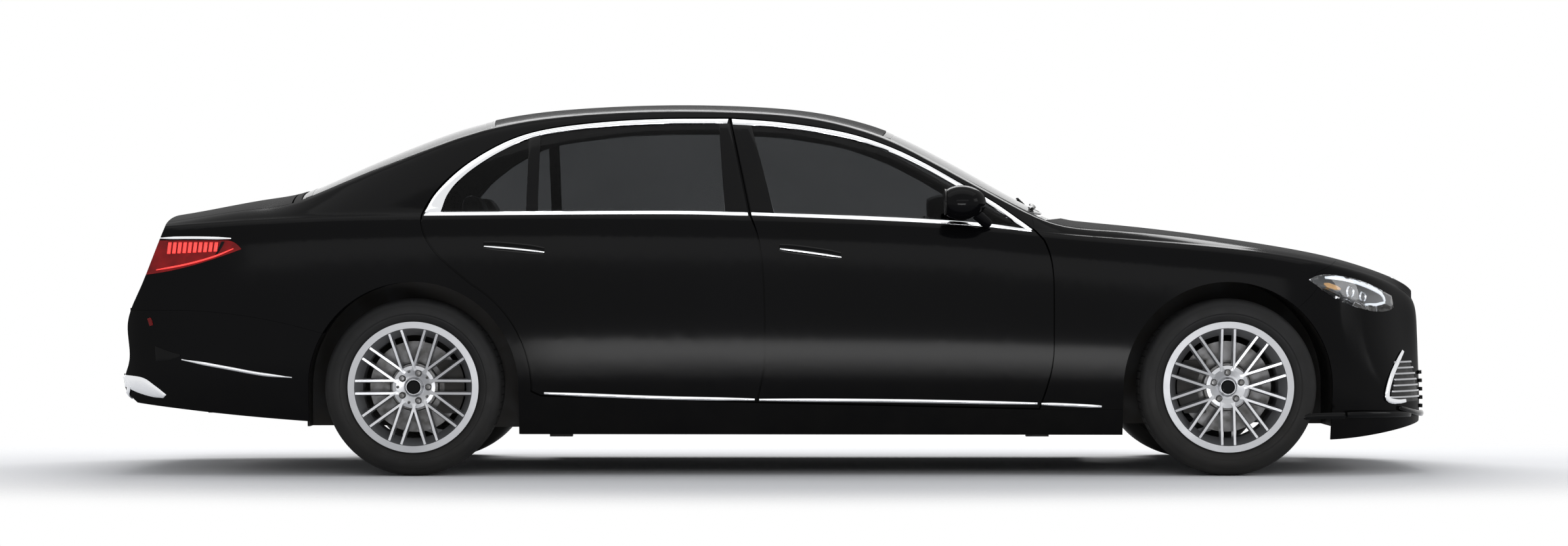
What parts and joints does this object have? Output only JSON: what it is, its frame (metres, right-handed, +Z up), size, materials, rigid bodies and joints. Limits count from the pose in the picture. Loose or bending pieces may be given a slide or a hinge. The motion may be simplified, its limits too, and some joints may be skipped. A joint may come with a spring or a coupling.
{
  "type": "long-wheelbase limousine saloon",
  "caption": "Long four-door limousine saloon with opening doors, bonnet and boot, steering front wheels and a furnished cabin.",
  "frame": {"origin": "on the ground under the middle of the car", "axes": "+X forward, +Y to the car's left, +Z up"},
  "size_m": [5.2908, 2.128, 1.4976],
  "materials": {
    "paint": "deep gloss black over clear coat",
    "tinted_glass": "dark tinted",
    "chrome_trim": "bright",
    "clear_lamp": "clear moulded lens",
    "red_lamp": "red moulded lens",
    "tyre_rubber": "matt",
    "alloy": "silver lacquer",
    "cast_disc": "ground",
    "dark_steel": "satin black",
    "black_plastic": "grained",
    "seat_leather": "soft grained",
    "wheel_leather": "smooth"
  },
  "bodies": {
    "body": {"floor_pan": "dark_steel", "tunnel": "dark_steel", "seat_mounts": "dark_steel", "front_structure": "dark_steel", "boot_floor": "dark_steel", "rear_bulkhead": "dark_steel", "rear_wheelhouses": "dark_steel", "body_side_left": "paint", "body_side_right": "paint", "roof": "paint", "scuttle": "black_plastic", "front_wing_left": "paint", "front_wing_right": "paint", "front_bumper": "paint", "rear_bumper": "paint", "grille": "chrome_trim", "windscreen": "tinted_glass", "rear_window": "tinted_glass", "headlamps": "clear_lamp", "tail_lamps": "red_lamp", "dashboard": "black_plastic", "front_seats": "seat_leather", "rear_seats": "seat_leather", "engine": "dark_steel", "front_axle": "dark_steel", "rear_axle": "dark_steel", "exhaust": "dark_steel", "undertray": "black_plastic"},
    "bonnet": {"bonnet": "paint"},
    "boot_lid": {"boot_lid": "paint", "lid_lamps": "red_lamp"},
    "steering_wheel": {"steering_wheel": "wheel_leather"},
    "door_front_left": {"door_front_left": "paint", "glass_front_left": "tinted_glass", "mirror_left": "paint"},
    "door_rear_left": {"door_rear_left": "paint", "glass_rear_left": "tinted_glass"},
    "knuckle_left": {"knuckle_front_left": "dark_steel"},
    "door_front_right": {"door_front_right": "paint", "glass_front_right": "tinted_glass", "mirror_right": "paint"},
    "door_rear_right": {"door_rear_right": "paint", "glass_rear_right": "tinted_glass"},
    "knuckle_right": {"knuckle_front_right": "dark_steel"},
    "wheel_front_left": {"tyre_front_left": "tyre_rubber", "rim_front_left": "alloy", "brake_disc_front_left": "cast_disc"},
    "wheel_front_right": {"tyre_front_right": "tyre_rubber", "rim_front_right": "alloy", "brake_disc_front_right": "cast_disc"},
    "wheel_rear_left": {"tyre_rear_left": "tyre_rubber", "rim_rear_left": "alloy", "brake_disc_rear_left": "cast_disc"},
    "wheel_rear_right": {"tyre_rear_right": "tyre_rubber", "rim_rear_right": "alloy", "brake_disc_rear_right": "cast_disc"}
  },
  "joints": [
    {"name": "open_door_front_left", "type": "hinge", "parent": "body", "child": "door_front_left", "pos_m": [1.142, 0.958, 0.6], "axis": [0, 0, -1], "range_deg": [0, 68]},
    {"name": "open_door_rear_left", "type": "hinge", "parent": "body", "child": "door_rear_left", "pos_m": [0.004, 0.962, 0.6], "axis": [0, 0, -1], "range_deg": [0, 72]},
    {"name": "open_door_front_right", "type": "hinge", "parent": "body", "child": "door_front_right", "pos_m": [1.142, -0.958, 0.6], "axis": [0, 0, 1], "range_deg": [0, 68]},
    {"name": "open_door_rear_right", "type": "hinge", "parent": "body", "child": "door_rear_right", "pos_m": [0.004, -0.962, 0.6], "axis": [0, 0, 1], "range_deg": [0, 72]},
    {"name": "open_bonnet", "type": "hinge", "parent": "body", "child": "bonnet", "pos_m": [1.019, 0, 1.008], "axis": [0, -1, 0], "range_deg": [0, 48]},
    {"name": "open_boot", "type": "hinge", "parent": "body", "child": "boot_lid", "pos_m": [-1.874, 0, 1.116], "axis": [0, 1, 0], "range_deg": [0, 78]},
    {"name": "steer_left", "type": "hinge", "parent": "body", "child": "knuckle_left", "pos_m": [1.788, 0.76, 0.35], "axis": [0, 0, 1], "range_deg": [-35, 35]},
    {"name": "roll_front_left", "type": "hinge", "parent": "knuckle_left", "child": "wheel_front_left", "pos_m": [1.788, 0.83, 0.35], "axis": [0, 1, 0], "continuous": true},
    {"name": "roll_rear_left", "type": "hinge", "parent": "body", "child": "wheel_rear_left", "pos_m": [-1.428, 0.842, 0.35], "axis": [0, 1, 0], "continuous": true},
    {"name": "steer_right", "type": "hinge", "parent": "body", "child": "knuckle_right", "pos_m": [1.788, -0.76, 0.35], "axis": [0, 0, 1], "range_deg": [-35, 35]},
    {"name": "roll_front_right", "type": "hinge", "parent": "knuckle_right", "child": "wheel_front_right", "pos_m": [1.788, -0.83, 0.35], "axis": [0, 1, 0], "continuous": true},
    {"name": "roll_rear_right", "type": "hinge", "parent": "body", "child": "wheel_rear_right", "pos_m": [-1.428, -0.842, 0.35], "axis": [0, 1, 0], "continuous": true},
    {"name": "turn_steering_wheel", "type": "hinge", "parent": "body", "child": "steering_wheel", "pos_m": [0.56, 0.38, 0.85], "axis": [-0.9135, 0, 0.4067], "range_deg": [-455, 455]}
  ],
  "couplings": [
    {"joint": "steer_right", "follows": "steer_left", "ratio": 1},
    {"joint": "turn_steering_wheel", "follows": "steer_left", "ratio": 13}
  ]
}
